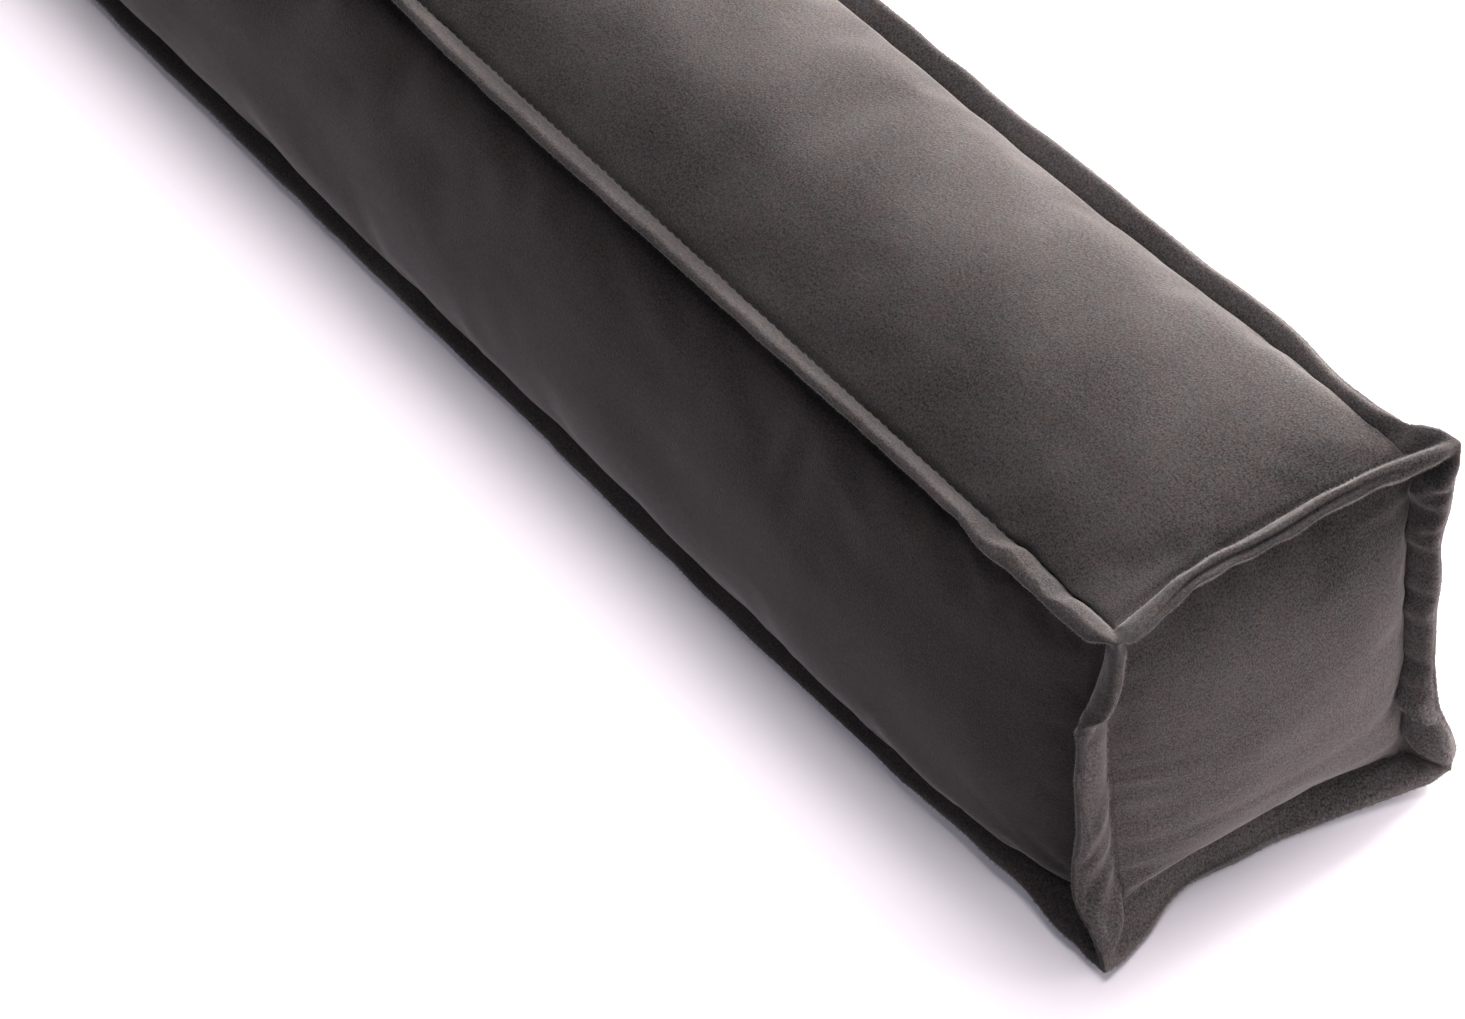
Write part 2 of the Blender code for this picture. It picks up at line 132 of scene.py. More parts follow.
# Flanged edges. draw pulls the seam's middle inwards; lean is (share, degrees) from the outward
# first axis to the second; wave is (degrees, cycles, start); turn is (stretch, share) at each end;
# narrow is a share of the flange's width, slim a share taken off its thickness, curl the degrees that
# it bends. creases are (face, share, slant, width before, width after, height) and ripples are
# (face, pitch, height, start, end), with the face named by its panel's axis
edges = {
    "frontTop": {
        "axis": 0, "side": (-1, 1), "draw": (0.0018, 0.0059),
        "lean": (
            (0.0, 46), (0.6, 47), (0.72, 34), (0.84, 39), (0.938, 40),
            (0.950, 30), (0.962, 36), (0.98, 28), (1.0, 22),
        ),
        "slim": ((0.0, 0.28), (0.70, 0.26), (0.945, 0.28), (0.962, 0.0), (1.0, 0.0)),
        "creases": (
            (2, 0.962, 0.0, 0.003, 0.005, 0.35), (2, 0.981, 0.0, 0.004, 0.003, -0.45),
            (1, 0.958, 0.0, 0.003, 0.004, 0.25), (1, 0.976, 0.0, 0.003, 0.004, -0.30),
        ),
        "wave": ((1.0, 7.0, 0.1),), "turn": ((0.022, 1.0), (0.018, 0.35)),
    },
    "backTop": {
        "axis": 0, "side": (1, 1), "draw": (0.0040, 0.0072),
        "lean": ((0.0, 36), (0.72, 33), (0.85, 45), (0.95, 54), (0.980, 68), (0.991, 44), (1.0, 66)),
        "narrow": (
            (0.0, 1.0), (0.93, 1.0), (0.970, 0.70), (0.990, 0.62), (0.998, 0.85), (1.0, 0.88),
        ),
        "creases": ((2, 0.990, 0.0, 0.003, 0.004, -0.7),),
        "wave": ((1.0, 9.0, 0.2),), "turn": ((0.022, 1.0), (0.018, 0.4)),
    },
    "frontBottom": {
        "axis": 0, "side": (-1, -1), "draw": (-0.0080, 0.0),
        "lean": ((0.0, 22), (0.55, 22), (0.75, 42), (0.90, 40), (0.96, 22), (1.0, 22)),
        "wave": ((1.5, 5.0, 0.3), (1.0, 12.0, 0.7)), "turn": ((0.022, 1.0), (0.018, 0.8)),
    },
    "backBottom": {
        "axis": 0, "side": (1, -1), "draw": (-0.0060, 0.0),
        "lean": ((0.0, 22), (1.0, 24)),
        "wave": ((1.5, 6.0, 0.8), (1.0, 10.0, 0.1)), "turn": ((0.022, 1.0), (0.022, 1.0)),
    },
    "endTop": {
        "axis": 1, "side": (1, 1), "draw": (0.0045, 0.0010),
        "lean": ((0.0, 47), (0.25, 53), (0.5, 43), (0.75, 49), (1.0, 54)),
        "wave": ((0.5, 2.5, 0.3),), "turn": ((0.014, 1.0), (0.018, 1.0)),
        "groove": 0.0026, "grooveWidth": 0.0011, "ripples": ((0, 0.013, 0.11, 0.0, 1.0),),
    },
    "endBottom": {
        "axis": 1, "side": (1, -1), "draw": (0.0062, 0.0),
        "lean": ((0.0, 70), (0.2, 74), (0.45, 54), (0.85, 26), (1.0, 8)),
        "wave": ((0.5, 2.0, 0.6),), "turn": ((0.0120, 0.42), (0.018, 0.4)),
    },
    "endNear": {
        "axis": 2, "side": (1, -1), "draw": (0.0030, -0.0012),
        "lean": (
            (0.0, 66), (0.12, 100), (0.35, 76), (0.66, 72), (0.75, 95), (0.85, 88), (0.95, 70), (1.0, 60)
        ),
        "curl": ((0.0, 0), (0.69, 0), (0.735, -50), (0.79, -120), (0.86, -135), (0.95, -110), (1.0, -60)),
        "wave": ((0.5, 4.0, 0.2),), "turn": ((0.013, 0.5), (0.016, 1.0)),
        "creases": (
            (0, 0.45, -0.014, 0.006, 0.0016, 0.5), (0, 0.30, -0.012, 0.006, 0.0016, 0.5),
            (0, 0.19, -0.012, 0.005, 0.0012, 0.9), (0, 0.08, -0.010, 0.005, 0.0012, 1.0),
        ),
    },
    "endFar": {
        "axis": 2, "side": (1, 1), "draw": (0.0030, 0.0010),
        "lean": ((0.0, 30), (0.22, 9), (0.45, 19), (0.7, 22), (1.0, 20)),
        "wave": ((0.5, 4.0, 0.5),), "turn": ((0.016, 1.0), (0.018, 0.15)),
        "uneven": 0.06, "ripples": ((0, 0.0078, 0.20, 0.2, 1.0), (0, 0.0132, 0.22, 0.3, 1.0)),
        "creases": (
            (0, 0.245, -0.006, 0.0012, 0.006, 1.9), (0, 0.10, -0.008, 0.0012, 0.007, 2.0),
            (0, 0.80, 0.004, 0.0015, 0.004, 0.8), (0, 0.93, 0.006, 0.0015, 0.004, 0.9),
        ),
    },
    "tailTop": {
        "axis": 1, "side": (-1, 1), "draw": (0.0042, 0.0012),
        "lean": ((0.0, 50), (0.5, 42), (1.0, 46)),
        "wave": ((3.0, 2.0, 0.1),), "turn": ((0.018, 1.0), (0.018, 1.0)),
    },
    "tailBottom": {
        "axis": 1, "side": (-1, -1), "draw": (0.0060, 0.0),
        "lean": ((0.0, 30), (0.5, 36), (1.0, 28)),
        "wave": ((3.0, 2.5, 0.4),), "turn": ((0.018, 1.0), (0.018, 1.0)),
    },
    "tailNear": {
        "axis": 2, "side": (-1, -1), "draw": (0.0034, 0.0012),
        "lean": ((0.0, 40), (0.35, 58), (0.7, 38), (1.0, 46)),
        "wave": ((3.0, 3.5, 0.7),), "turn": ((0.018, 1.0), (0.018, 1.0)),
    },
    "tailFar": {
        "axis": 2, "side": (-1, 1), "draw": (0.0030, 0.0014),
        "lean": ((0.0, 42), (0.4, 30), (0.75, 54), (1.0, 46)),
        "wave": ((3.0, 4.0, 0.3),), "turn": ((0.018, 1.0), (0.018, 1.0)),
    },
}

# Panels by axis and side. firm is each side's own roundness, from .3 for a full shoulder to 1 for a
# flat slope, and bulge is how far its shoulder stands over the flange: (low, high) along both axes. The
# pair after the crown is painted light and shade, a scale on the cloth's colour at the second axis's low
# and high side: darker on the front and back, paler towards the top's back edge and the end's foot.
# puckers are (axis, side, start, end, pitch, depth, width)
panels = {
    (2, 1): {  # top
        "crown": 0.0160, "nap": (0.74, 1.42),
        "firm": ((0.55, 0.42), (0.74, 0.42)), "bulge": ((0.0018, 0.0018), (0.0030, 0.0045)),
    },
    (2, -1): {  # bottom
        "crown": 0.0125, "nap": (0.85, 0.85),
        "firm": ((0.40, 0.40), (0.36, 0.36)), "bulge": ((0.0010, 0.0010), (0.0010, 0.0010)),
    },
    (1, -1): {  # front
        "crown": 0.0145, "nap": (0.34, 0.44),
        "firm": ((0.55, 0.34), (0.34, 0.45)), "bulge": ((0.0015, 0.0010), (0.0040, 0.0030)),
    },
    (1, 1): {  # back
        "crown": 0.0145, "nap": (0.50, 0.56),
        "firm": ((0.55, 0.55), (0.40, 0.45)), "bulge": ((0.0015, 0.0015), (0.0020, 0.0020)),
    },
    (0, 1): {  # end
        "crown": 0.0150, "nap": (1.95, 0.66),
        "firm": ((0.90, 0.62), (0.65, 0.75)), "bulge": ((0.0, 0.0022), (0.0010, 0.0)),
        "puckers": ((0, -1, 0.03, 0.62, 0.0088, 0.0005, 0.0048),),
    },
    (0, -1): {  # tail
        "crown": 0.0140, "nap": (0.95, 0.75),
        "firm": ((0.60, 0.75), (0.45, 0.65)), "bulge": ((0.0020, 0.0010), (0.0030, 0.0)),
        "puckers": ((0, 1, 0.10, 0.70, 0.0094, 0.0006, 0.0070),),
    },
}

# Seeds of the random draws
seeds = {"thickness": 20, "ripples": 7, "lumps": 3, "puckers": 40, "pile": 60, "stitches": 100}
samePlace = 1e-6  # metres within which two points are one
unit = np.eye(3)
half = np.array(cover["seams"]) / 2
centre = np.array((0.0, 0.0, cover["lift"] + half[2]))


def others(axis):
    return tuple(a for a in range(3) if a != axis)


# Shares of an edge: even steps mixed with a cosine's, which crowd beside the corners
def stations(axis):
    even = np.linspace(0.0, 1.0, cover["cells"][axis] + 1)
    return even + cover["ease"][axis] * ((1.0 - np.cos(np.pi * even)) / 2.0 - even)


# A value along an edge: each row's step is eased with 3t2 - 2t3
def smoothTable(share, rows):
    value = np.full_like(share, float(rows[0][1]))
    for (start, low), (end, high) in zip(rows[:-1], rows[1:]):
        t = np.clip((share - start) / (end - start), 0.0, 1.0)
        value += (high - low) * t * t * (3.0 - 2.0 * t)
    return value


# A table with the same value all along an edge
def always(value):
    return (0.0, value), (1.0, value)


def seamCorner(sides):
    return centre + np.array(sides) * (half + np.array(corners[sides]["shift"]))


def ear(sides):
    return np.array(sides) * np.array(corners[sides]["ear"])


# The joining seam's groove in the lip: e^-(thick/width)2
def grooveShape(depth, width):
    return depth * np.exp(-((section["half"] / width) ** 2))


def cornerSides(edge, end):
    sides = [end, end, end]
    for axis, side in zip(others(edge["axis"]), edge["side"]):
        sides[axis] = side
    return tuple(sides)


# Half section of the flange, joining seam to topstitching: a quarter circle round the lip, then a
# taper with a sine belly. along is the length run, as a share of the whole
def flangeSection():
    k = np.arange(cover["rings"] + 1)
    turn = np.pi / 2 * np.minimum(k / cover["lipRings"], 1.0)
    down = np.clip((k - cover["lipRings"]) / (cover["rings"] - cover["lipRings"]), 0.0, 1.0)
    lip = cover["lip"] / cover["flange"]
    out = (1.0 - lip) * (1.0 - down) + lip * np.cos(turn)
    thick = cover["lip"] * np.sin(turn)
    thick += (cover["stitchHalf"] - thick) * down ** cover["taper"]
    thick += cover["belly"] * np.sin(np.pi * down)
    steps = np.hypot(np.diff(out) * cover["flange"], np.diff(thick))
    along = np.concatenate([[0.0], np.cumsum(steps)])
    return {"out": out, "half": thick, "along": along / along[-1]}


section = flangeSection()
rings = cover["rings"]
plainGroove = grooveShape(cover["groove"], cover["grooveWidth"])


# Smooth seeded noise along a line, -1 to 1: a random value at each pitch, joined by 3t2 - 2t3 steps
def wander(distance, pitch, seed):
    steps = np.abs(distance) / pitch
    knots = np.random.default_rng(seed).uniform(-1.0, 1.0, int(steps.max()) + 2)
    index = steps.astype(int)
    t = steps - index
    return knots[index] + (knots[index + 1] - knots[index]) * t * t * (3.0 - 2.0 * t)


# Topstitched line: straight between the corners, less draw times a bow (1 - e^-s/relax at both
# ends, or 4s(1 - s)). The flange leaves it at the lean's angle, bends by curl on its way to the lip,
# as a circle's arc, and turns to the ear by e^-(d/stretch)2
def edgeLines(name):
    edge = edges[name]
    axis = edge["axis"]
    seed = list(edges).index(name)
    share = stations(axis)
    first, second = others(axis)
    low, high = cornerSides(edge, -1), cornerSides(edge, 1)
    start, end = seamCorner(low), seamCorner(high)
    length = np.linalg.norm(end - start)
    bow = 4.0 * share * (1.0 - share)
    if axis == 0:
        relax = cover["relax"][edge["side"][1]]
        bow = 1.0 - np.exp(-share * length / relax) - np.exp(-(1.0 - share) * length / relax)
    out = (edge["side"][0] * unit[first], edge["side"][1] * unit[second])
    inward = edge["draw"][0] * out[0] + edge["draw"][1] * out[1]
    seam = start + np.outer(share, end - start) - np.outer(np.clip(bow, 0.0, None), inward)
    angle = smoothTable(share, edge["lean"])
    for degrees, cycles, begin in edge["wave"]:
        angle = angle + degrees * np.sin(2.0 * np.pi * (cycles * share + begin))
    curl = smoothTable(share, edge.get("curl", always(0.0)))
    uneven = wander(share * length, cover["unevenPitch"], seed)
    reach = cover["flange"] * (1.0 + edge.get("uneven", cover["unevenReach"]) * uneven)
    plain = np.zeros_like(share)
    ends = zip((low, high), (share * length, (1.0 - share) * length), edge["turn"])
    for sides, distance, (stretch, most) in ends:
        near = np.exp(-((distance / stretch) ** 2))
        tip = corners[sides]["ear"]
        angle = angle + most * near * (np.degrees(np.arctan2(tip[second], tip[first])) - angle)
        curl = curl * (1.0 - most * near)
        reach = reach + most * near * (np.hypot(tip[first], tip[second]) - reach)
        plain = plain + near
    reach = reach * smoothTable(share, edge.get("narrow", always(1.0)))
    angle, curl = np.radians(angle), np.radians(curl)
    depth, width = (edge.get(key, cover[key]) for key in ("groove", "grooveWidth"))
    ownGroove = grooveShape(depth, width)
    groove = ownGroove[:, None] + plain * (plainGroove - ownGroove)[:, None]
    run = section["out"][:, None] - groove / cover["flange"]
    chord = reach * run * np.sinc(curl * run / (2.0 * np.pi))
    toward = angle + curl * run / 2.0
    path = (chord * np.cos(toward))[..., None] * out[0] + (chord * np.sin(toward))[..., None] * out[1]
    least = np.minimum(section["half"] + cover["clear"], cover["rest"])[:, None]
    path[..., 2] = np.maximum(path[..., 2], least - seam[:, 2])
    facing = angle + curl * run
    tangent = np.cos(facing)[..., None] * out[0] + np.sin(facing)[..., None] * out[1]
    return {"edge": edge, "seed": seed, "seam": seam, "path": path, "tangent": tangent,
            "distance": share * length}


# Unit normals of a flange on its face beside one panel
def faceNormals(lines, panelAxis, panelSide):
    edge = lines["edge"]
    axis = edge["axis"]
    other = next(a for a in others(axis) if a != panelAxis)
    otherSide = edge["side"][others(axis).index(other)]
    overPanel = panelSide * unit[panelAxis] - otherSide * unit[other]
    plain = panelSide * unit[panelAxis] + otherSide * unit[other]
    turn = np.sign(np.dot(np.cross(unit[axis], plain), overPanel))
    return turn * np.cross(unit[axis], lines["tangent"])


# Half thickness of a flange on one face, as a share more or less than plain: a slow noise, sine
# ripples of a wandering pitch, and creases, bells with their own width before and after
def faceThickness(lines, panelAxis):
    edge, distance = lines["edge"], lines["distance"]
    seed = lines["seed"] + seeds["thickness"] * panelAxis
    more = cover["unevenThick"] * wander(distance, cover["unevenPitch"] / 2, seed)
    more = np.broadcast_to(more, (rings + 1, len(distance))).copy()
    more -= smoothTable(distance / distance[-1], edge.get("slim", always(0.0)))
    run = section["out"][:, None]
    place, fade = distance / distance[-1], cover["rippleFade"]
    for face, pitch, height, start, end in edge.get("ripples", ()):
        if face == panelAxis:
            seed = lines["seed"] + seeds["ripples"]
            drift = cover["rippleDrift"] * wander(distance, pitch * 2, seed)
            limits = (start - fade, start + fade, end - fade, end + fade)
            inside = smoothTable(place, tuple(zip(limits, (0, 1, 1, 0))))
            more += height * inside * np.sin(2.0 * np.pi * (distance / pitch + drift))
    for face, share, slant, before, after, height in edge.get("creases", ()):
        if face == panelAxis:
            d = distance - share * distance[-1] - slant * run
            more += height * np.exp(-((d / np.where(d < 0.0, before, after)) ** 2))
    return section["half"][:, None] * (1.0 + more)


# 0 at a seam, 1 from reach inwards: (1 - left^power)^firm
def rise(distance, reach, firm):
    left = 1.0 - np.clip(distance / reach, 0.0, 1.0)
    return (1.0 - left ** cover["power"]) ** firm


# 0 at a seam, 1 at the width from it, then fading: d/w e^(1 - d/w)
def swell(distance, width):
    return distance / width * np.exp(1.0 - distance / width)


# Fill of a panel. Its crown is the product of its four sides' rises. Shoulders are pushed outwards
# over the flanges by the swell, slow sines make lumps, and puckers are sines along one seam
def crown(panelAxis, panelSide):
    panel = panels[(panelAxis, panelSide)]
    u, v = others(panelAxis)
    place = np.stack(
        np.meshgrid(*[(stations(a) - 0.5) * 2.0 * half[a] for a in (u, v)], indexing="ij"), axis=-1
    )
    reach = half[[u, v]].min()
    inside = {(k, side): half[a] - side * place[..., k] for k, a in enumerate((u, v)) for side in (-1, 1)}
    rises = {
        (k, side): rise(inside[k, side], reach, panel["firm"][k][(side + 1) // 2]) for k, side in inside
    }
    lift = rises[0, -1] * rises[0, 1] * rises[1, -1] * rises[1, 1]
    push = np.zeros_like(place)
    for k, side in inside:
        over = panel["bulge"][k][(side + 1) // 2] * swell(inside[k, side], cover["shoulder"])
        push[..., k] += side * over * rises[1 - k, -1] * rises[1 - k, 1]
    lumps = np.zeros_like(lift)
    rng = np.random.default_rng(seeds["lumps"] + 7 * panelAxis + panelSide)
    for turns in cover["lumps"]:
        heading, begin = rng.uniform(0.0, 2.0 * np.pi, 2)
        phase = place[..., 0] * np.cos(heading) + place[..., 1] * np.sin(heading)
        lumps += np.sin(2.0 * np.pi * turns * phase + begin) / len(cover["lumps"])
    ends = np.minimum(stations(u), 1.0 - stations(u)) * 2.0 * half[u]
    slope = cover["endFall"] * (1.0 - np.clip(ends / cover["endRise"], 0.0, 1.0)) ** 2
    fall = 1.0 - (slope[:, None] if u == 0 else 0.0)
    height = panel["crown"] * lift * fall + cover["lumpHeight"] * lumps * lift**2
    fade = cover["puckerFade"]
    for k, side, start, end, pitch, depth, width in panel.get("puckers", ()):
        along = place[..., 1 - k]
        share = along / (2.0 * half[(u, v)[1 - k]]) + 0.5
        held = smoothTable(share, ((start, 0), (start + fade, 1), (end - fade, 1), (end, 0)))
        seed = seeds["puckers"] + panelAxis + panelSide
        drift = cover["puckerDrift"] * wander(along - along.min(), pitch * cover["puckerWander"], seed)
        gathers = np.sin(2.0 * np.pi * (along / pitch + drift))
        height += depth * held * gathers * swell(inside[k, side], width)
    offset = height[..., None] * panelSide * unit[panelAxis]
    return offset + push[..., :1] * unit[u] + push[..., 1:] * unit[v]


# A grid from its four border lines: both rulings less the corners' bilinear patch
def coons(grid):
    rows, columns = grid.shape[:2]
    s = np.linspace(0.0, 1.0, rows)[:, None, None]
    t = np.linspace(0.0, 1.0, columns)[None, :, None]
    ruled = (1 - t) * grid[:, :1] + t * grid[:, -1:] + (1 - s) * grid[:1] + s * grid[-1:]
    flat = (1 - s) * ((1 - t) * grid[0, 0] + t * grid[0, -1])
    return ruled - flat - s * ((1 - t) * grid[-1, 0] + t * grid[-1, -1])


# The square between a seam corner and its ear: ring r runs along one flange, turns at the mitre
# on the ear's axis and runs back along the other. Paths, normals and half thicknesses are the two
# flanges' own at the corner
def earPatch(sides, paths, normals, thicks):
    corner, tip = seamCorner(sides), ear(sides)
    meeting = 1.0 + np.sum(normals[0] * normals[1], axis=-1, keepdims=True)
    notch = corners[sides].get("notch", cover["notch"])
    valley = notch * (normals[0] + normals[1]) / np.maximum(meeting, cover["mitreFloor"])
    i, j = np.indices((rings + 1, rings + 1))
    ring, further = np.minimum(i, j), np.maximum(i, j)
    second = (j > i)[..., None]
    run = section["out"] - plainGroove / cover["flange"]
    onAxis = corner + tip * run[ring][..., None] + valley[ring] * section["half"][ring][..., None]
    lines = [corner + path + normal * thick[:, None] for path, normal, thick in zip(paths, normals, thicks)]
    onLine = np.where(second, lines[1][ring], lines[0][ring])
    left = np.maximum(1.0 - section["along"][ring], 1e-9)
    share = ((section["along"][further] - section["along"][ring]) / left)[..., None]
    return onAxis + share * (onLine - onAxis)


def findEdge(axis, sides):
    wanted = tuple(sides[a] for a in others(axis))
    return next(n for n, e in edges.items() if e["axis"] == axis and e["side"] == wanted)


# All the points of one panel as a grid: flange faces round the crowned middle
def panelGrid(panelAxis, panelSide):
    u, v = others(panelAxis)
    cells = cover["cells"]
    counts = (2 * rings + cells[u] + 1, 2 * rings + cells[v] + 1)
    grid = np.empty(counts + (3,))
    middle = (slice(rings, rings + cells[u] + 1), slice(rings, rings + cells[v] + 1))
    faces = {}
    for axis, other in ((u, v), (v, u)):
        for side in (-1, 1):
            lines = edgeLines(findEdge(axis, {other: side, panelAxis: panelSide}))
            normals = faceNormals(lines, panelAxis, panelSide)
            thick = faceThickness(lines, panelAxis)
            faces[(axis, side)] = (lines["path"], normals, thick)
            points = lines["seam"] + lines["path"] + normals * thick[..., None]
            points = points if side < 0 else points[::-1]
            band = slice(0, rings + 1) if side < 0 else slice(-rings - 1, None)
            if axis == u:
                grid[middle[0], band] = points.transpose(1, 0, 2)
            else:
                grid[band, middle[1]] = points
    for sideU in (-1, 1):
        for sideV in (-1, 1):
            sides = [panelSide] * 3
            sides[u], sides[v] = sideU, sideV
            ends = (0 if sideU < 0 else -1, 0 if sideV < 0 else -1)
            meeting = (faces[(u, sideV)], ends[0]), (faces[(v, sideU)], ends[1])
            paths, normals, thicks = zip(*[[part[:, end] for part in face] for face, end in meeting])
            patch = earPatch(tuple(sides), paths, normals, thicks)
            rows = slice(0, rings + 1) if sideU < 0 else slice(-rings - 1, None)
            columns = slice(0, rings + 1) if sideV < 0 else slice(-rings - 1, None)
            grid[rows, columns] = patch[:: -sideU, :: -sideV]
    grid[middle] = coons(grid[middle]) + crown(panelAxis, panelSide)
    return grid


# Lengths run along a grid's two directions, in metres, for a pattern that follows the cloth
def clothLengths(grid):
    def run(steps):
        return np.concatenate([[0.0], np.cumsum(steps)])
    along = run(np.linalg.norm(np.diff(grid, axis=0), axis=-1).mean(axis=1))
    across = run(np.linalg.norm(np.diff(grid, axis=1), axis=-1).mean(axis=0))
    return np.stack(np.meshgrid(along, across, indexing="ij"), axis=-1)


def gridQuads(rows, columns, first, flipped):
    index = first + np.arange(rows * columns).reshape(rows, columns)
    quads = np.stack([index[:-1, :-1], index[1:, :-1], index[1:, 1:], index[:-1, 1:]], axis=-1)
    quads = quads.reshape(-1, 4)
    return quads[:, ::-1] if flipped else quads


# The filling pushes the panels out: a closed body of the panels' middles at every second line,
# pinned along the topstitching, is simulated as cloth under pressure
filling = {
    "step": 2,
    "pressure": 4.0,
    "frames": 20,
    "looseness": 0.006,  # more cloth than the seams are long, which gathers into puckers
    "tension": 20.0,
    "bending": 0.5,
    "quality": 5,
    "cap": 0.0040,  # no point moves further
}


def middleOf(grid):
    return grid[rings:-rings, rings:-rings]


def swellByCloth(grids):
    points, quads, pinned, count = [], [], [], 0
    for (axis, side), grid in grids.items():
        block = middleOf(grid)[:: filling["step"], :: filling["step"]].copy()
        rows, columns = block.shape[:2]
        u, v = others(axis)
        for across, other, place in ((u, v, (slice(None),)), (v, u, ())):
            for end in (-1, 1):
                name = findEdge(across, {other: end, axis: side})
                border = (*place, 0 if end < 0 else -1)
                block[border] = edgeLines(name)["seam"][:: filling["step"]]
        pin = np.ones((rows, columns), dtype=bool)
        pin[1:-1, 1:-1] = False
        quads.append(gridQuads(rows, columns, count, (side > 0) == (axis == 1)))
        points.append(block.reshape(-1, 3))
        pinned.append(pin.ravel())
        count += rows * columns
    points, quads, pinned = (np.concatenate(x) for x in (points, quads, pinned))
    key = np.round(points / samePlace).astype(np.int64)
    _, first, shared = np.unique(key, axis=0, return_index=True, return_inverse=True)
    shared = shared.ravel()
    mesh = bpy.data.meshes.new("fill")
    mesh.from_pydata(points[first].tolist(), [], shared[quads].tolist())
    body = bpy.data.objects.new("fill", mesh)
    bpy.context.collection.objects.link(body)
    group = body.vertex_groups.new(name="pin")
    group.add(np.flatnonzero(pinned[first]).tolist(), 1.0, "REPLACE")
    cloth = body.modifiers.new("cloth", "CLOTH")
    rule = cloth.settings
    rule.vertex_group_mass = "pin"
    rule.quality = filling["quality"]
    rule.tension_stiffness = rule.compression_stiffness = filling["tension"]
    rule.bending_stiffness = filling["bending"]
    rule.shrink_min = -filling["looseness"]
    rule.use_pressure = True
    rule.uniform_pressure_force = filling["pressure"]
    rule.effector_weights.gravity = 0.0
    cloth.collision_settings.use_collision = False
    cloth.point_cache.frame_end = filling["frames"]
    for frameNumber in range(1, filling["frames"] + 1):
        bpy.context.scene.frame_set(frameNumber)
    swollen = body.evaluated_get(bpy.context.evaluated_depsgraph_get()).data
    moved = np.empty(len(swollen.vertices) * 3, dtype=np.float32)
    swollen.vertices.foreach_get("co", moved)
    move = moved.reshape(-1, 3) - points[first]
    size = np.linalg.norm(move, axis=1, keepdims=True)
    print("cloth moved by up to %.1f mm, on average %.1f" % (size.max() * 1000, size.mean() * 1000))
    move = (move / (1.0 + size / filling["cap"]))[shared]
    bpy.data.objects.remove(body)
    bpy.context.scene.frame_set(1)
    moves, count = {}, 0
    for place, grid in grids.items():
        rows, columns = ((n - 1) // filling["step"] + 1 for n in middleOf(grid).shape[:2])
        moves[place] = move[count : count + rows * columns].reshape(rows, columns, 3)
        count += rows * columns
    return moves


# A point between each two along the first axis, by (-1, 9, 9, -1) / 16 of the four around it
def twiceAsFine(values):
    padded = np.concatenate([2 * values[:1] - values[1:2], values, 2 * values[-1:] - values[-2:-1]])
    between = (9.0 * (padded[1:-2] + padded[2:-1]) - padded[:-3] - padded[3:]) / 16.0
    finer = np.empty((2 * len(values) - 1,) + values.shape[1:])
    finer[::2], finer[1::2] = values, between
    return finer


coverShift = (0.00024, -0.00090)  # from the seams' middle to the middle of the whole cushion


# The panels' grids with the cloth's swelling, centred on the frame
def shapeCover():
    grids = {place: panelGrid(*place) for place in panels}
    moves = swellByCloth(grids)
    for place, move in moves.items():
        middleOf(grids[place])[:] += twiceAsFine(twiceAsFine(move).swapaxes(0, 1)).swapaxes(0, 1)
    for grid in grids.values():
        grid[..., 2] = np.maximum(grid[..., 2], 0.0)
        grid[..., :2] -= coverShift
    return grids


# How far out in the flange each point of a grid lies, 0 at the topstitching and 1 at the lip
def flangeShare(rows, columns):
    ring = np.minimum(*np.meshgrid(
        *[np.minimum(np.arange(n), n - 1 - np.arange(n)) for n in (rows, columns)], indexing="ij"
    ))
    return section["out"][np.minimum(ring, rings)]


def makeCover(grids):
    points, quads, lengths, shares, paintedLights, count = [], [], [], [], [], 0
    for (axis, side), grid in grids.items():
        rows, columns = grid.shape[:2]
        quads.append(gridQuads(rows, columns, count, (side > 0) == (axis == 1)))
        # Each panel begins at a place of its own in the pattern
        lengths.append(clothLengths(grid).reshape(-1, 2) + (2.0 * axis, side))
        share = flangeShare(rows, columns).ravel()
        shares.append(share)
        # Painted light and shade: a scale on the colour across each panel, fading towards 1 out on the
        # flanges
        across = grid[..., others(axis)[1]].ravel()
        nap = np.interp(across, (across.min(), across.max()), panels[(axis, side)]["nap"])
        paintedLights.append(nap + (1.0 - nap) * cover["paintedLightFade"] * np.minimum(2.0 * share, 1.0))
        points.append(grid.reshape(-1, 3))
        count += rows * columns
    points, quads, lengths = (np.concatenate(x) for x in (points, quads, lengths))
    mesh = bpy.data.meshes.new("velvetCover")
    mesh.from_pydata(points.tolist(), [], quads.tolist())
    for label, values in (("flange", shares), ("nap", paintedLights)):
        values = np.concatenate(values).astype(np.float32)
        mesh.attributes.new(label, "FLOAT", "POINT").data.foreach_set("value", values)
    uv = mesh.uv_layers.new(name="cloth")
    uv.data.foreach_set("uv", lengths[quads.ravel()].astype(np.float32).ravel())
    piece = bpy.data.objects.new("velvetCover", mesh)
    bpy.context.collection.objects.link(piece)
    return piece


def weld(piece):
    work = bmesh.new()
    work.from_mesh(piece.data)
    bmesh.ops.remove_doubles(work, verts=work.verts, dist=samePlace)
    work.to_mesh(piece.data)
    work.free()
    piece.data.shade_smooth()


